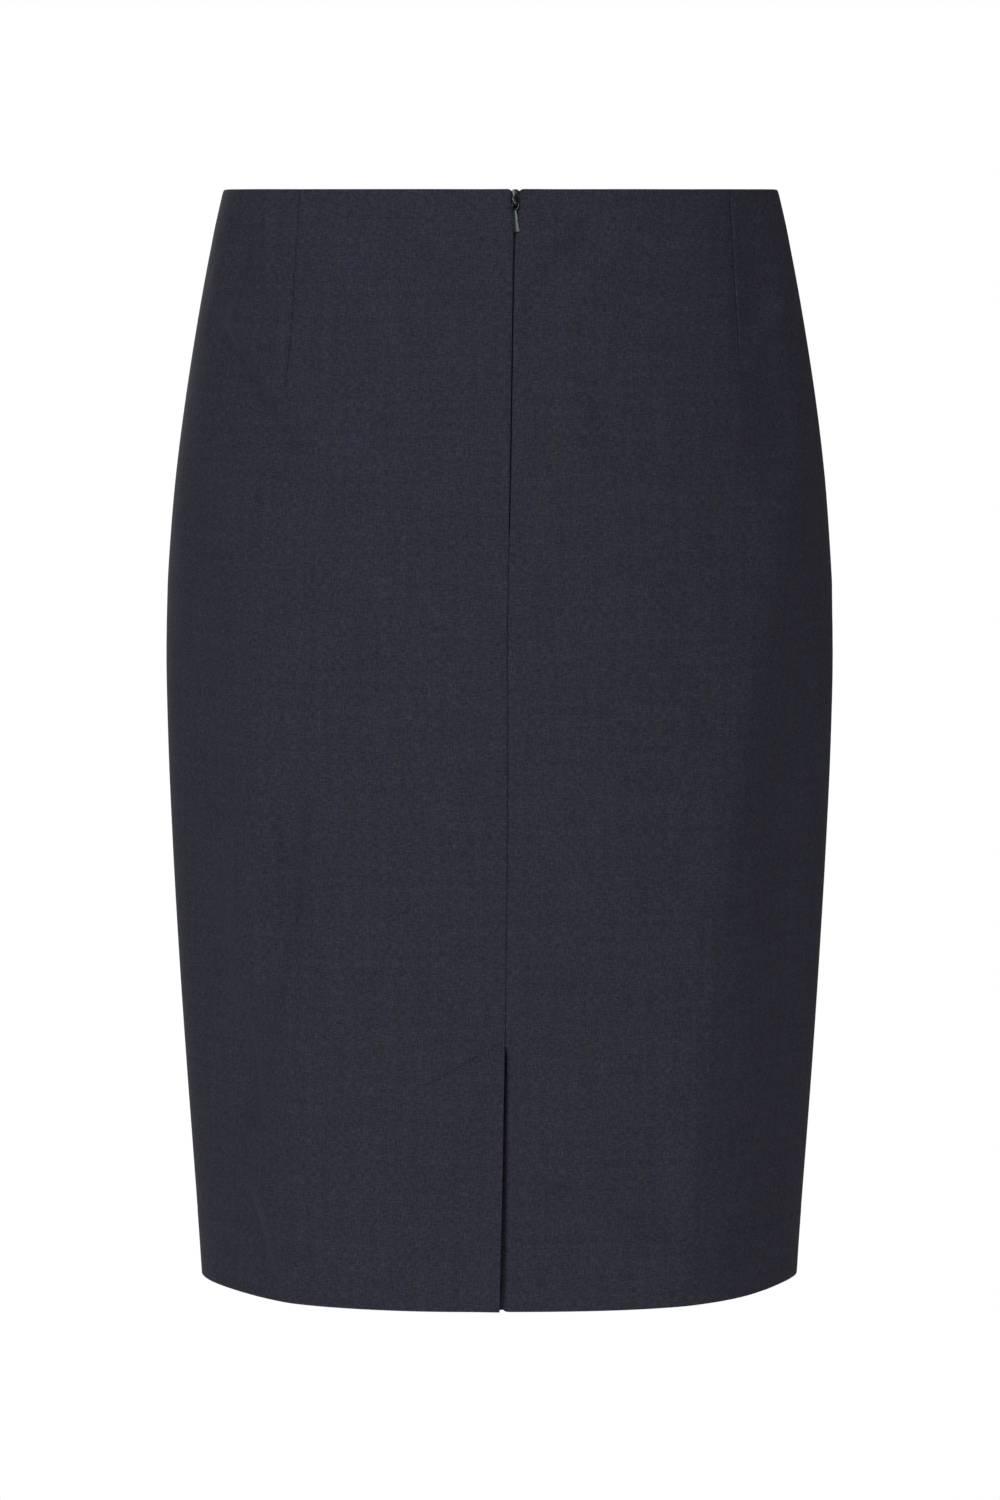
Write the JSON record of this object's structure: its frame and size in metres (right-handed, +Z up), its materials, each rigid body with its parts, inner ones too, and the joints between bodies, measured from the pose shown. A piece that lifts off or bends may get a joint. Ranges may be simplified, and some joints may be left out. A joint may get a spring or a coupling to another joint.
{
  "type": "pencil skirt",
  "caption": "Knee-length pencil skirt, filled out with no wearer, with back darts, a concealed centre back zip and a lapped back vent.",
  "frame": {"origin": "centre of the waist opening, level with the waist edge, where the wearer's waist holds the skirt up", "axes": "+Z up, from hem to waist; the back with its zip and vent faces -Y and the front faces +Y, so +X is the wearer's right"},
  "size_m": [0.3678, 0.2403, 0.6],
  "materials": {
    "cloth": "worsted wool suiting, matt with a faint melange",
    "zip_tape": "woven tape with moulded coils, matt",
    "zip_metal": "satin dark enamel"
  },
  "bodies": {
    "skirt": {"front_panel": "cloth", "back_left_panel": "cloth", "back_right_panel": "cloth", "zip_tape_left": "zip_tape", "zip_tape_right": "zip_tape", "zip_chain": "zip_tape", "zip_slider": "zip_metal"},
    "pull": {"zip_pull": "zip_metal"}
  },
  "joints": [
    {"name": "pull_swing", "type": "hinge", "parent": "skirt", "child": "pull", "pos_m": [0.00817, -0.10104, -0.00768], "axis": [-0.9971, -0.0416, -0.0636], "range_deg": [0, 150]}
  ]
}
